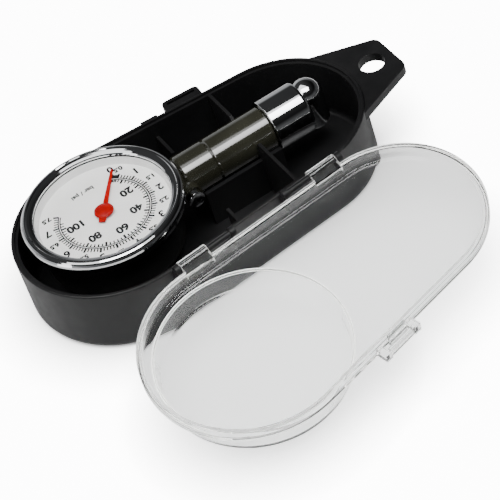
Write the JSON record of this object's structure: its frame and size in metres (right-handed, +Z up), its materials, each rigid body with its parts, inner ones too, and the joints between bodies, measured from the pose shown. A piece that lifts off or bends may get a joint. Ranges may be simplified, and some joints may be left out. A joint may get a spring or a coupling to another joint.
{
  "type": "tyre pressure gauge in case",
  "caption": "Round dial tyre pressure gauge with a stem, bleed button and swivelling ball chuck, lying in a moulded case with a hanging tab and a clear hinged lid.",
  "frame": {"origin": "underside of the case, below the centre of its large round end", "axes": "+X along the case to the hanging tab, +Y to the latch side (the lid hinges on the -Y side), +Z up out of the case"},
  "size_m": [0.1301, 0.1301, 0.026],
  "materials": {
    "black_case": "moulded, fine grain",
    "clear_lid": "clear, polished",
    "chrome": "polished plate",
    "window": "clear, polished",
    "white_plastic": "satin",
    "dial_print": "white enamel with black print",
    "red_paint": "red gloss",
    "red_plastic": "red gloss",
    "stem_metal": "dark satin plate",
    "pressed_steel": "zinc plate",
    "brass": "machined",
    "spring_steel": "bright drawn",
    "rubber": "matt"
  },
  "bodies": {
    "case": {"case_tub": "black_case"},
    "lid": {"case_lid": "clear_lid"},
    "gauge": {"gauge_shell": "pressed_steel", "bezel_ring": "chrome", "lens": "window", "lens_gasket": "rubber", "dial_surround": "white_plastic", "dial_plate": "dial_print", "movement_lower_plate": "brass", "movement_upper_plate": "brass", "movement_pillars": "brass", "movement_screws": "spring_steel", "hairspring": "spring_steel", "bourdon_tube": "brass", "tube_tip": "brass", "bourdon_socket": "brass", "stem_body": "stem_metal", "release_spring": "spring_steel", "check_valve_seat": "brass", "check_valve_spring": "spring_steel", "swivel_o_ring": "rubber", "swivel_clip": "spring_steel"},
    "pointer": {"pointer_needle": "red_paint", "pointer_hub": "red_plastic", "pointer_arbor": "brass"},
    "sector": {"sector_gear": "brass"},
    "link": {"tip_link": "spring_steel"},
    "button": {"release_button": "chrome"},
    "check_valve": {"check_valve_poppet": "rubber"},
    "chuck": {"swivel_collar": "chrome", "chuck_head": "chrome", "chuck_seal": "rubber", "depressor_pin": "brass"}
  },
  "joints": [
    {"name": "lid_hinge", "type": "hinge", "parent": "case", "child": "lid", "pos_m": [0.00279, -0.03348, 0.0231], "axis": [-0.9965, -0.083, 0], "range_deg": [0, 188]},
    {"name": "gauge_lift", "type": "slide", "parent": "case", "child": "gauge", "axis": [0, 0, 1], "range_m": [0, 0.06]},
    {"name": "sector_turn", "type": "hinge", "parent": "gauge", "child": "sector", "pos_m": [-0.0121, 0.0039, 0.0155], "axis": [0, 0, 1], "range_deg": [0, 40.91]},
    {"name": "pointer_spin", "type": "hinge", "parent": "gauge", "child": "pointer", "pos_m": [-0.0007, 0.0039, 0.022], "axis": [0, 0, -1], "range_deg": [0, 270.01], "deforming": ["hairspring"]},
    {"name": "link_swing", "type": "hinge", "parent": "sector", "child": "link", "pos_m": [-0.0105, 0.00113, 0.0164], "axis": [0, 0, 1], "range_deg": [-40.92, 0]},
    {"name": "release_press", "type": "slide", "parent": "gauge", "child": "button", "axis": [0, 1, 0], "range_m": [0, 0.0012], "stiffness_N_per_m": 800, "deforming": ["release_spring"]},
    {"name": "check_valve", "type": "slide", "parent": "gauge", "child": "check_valve", "axis": [-1, 0, 0], "range_m": [0, 0.001], "stiffness_N_per_m": 200, "deforming": ["check_valve_spring"]},
    {"name": "chuck_swivel", "type": "hinge", "parent": "gauge", "child": "chuck", "pos_m": [0.06, 0.0039, 0.0175], "axis": [1, 0, 0], "continuous": true}
  ],
  "couplings": [
    {"joint": "pointer_spin", "follows": "sector_turn", "ratio": 6.6},
    {"joint": "link_swing", "follows": "sector_turn", "ratio": -1}
  ]
}
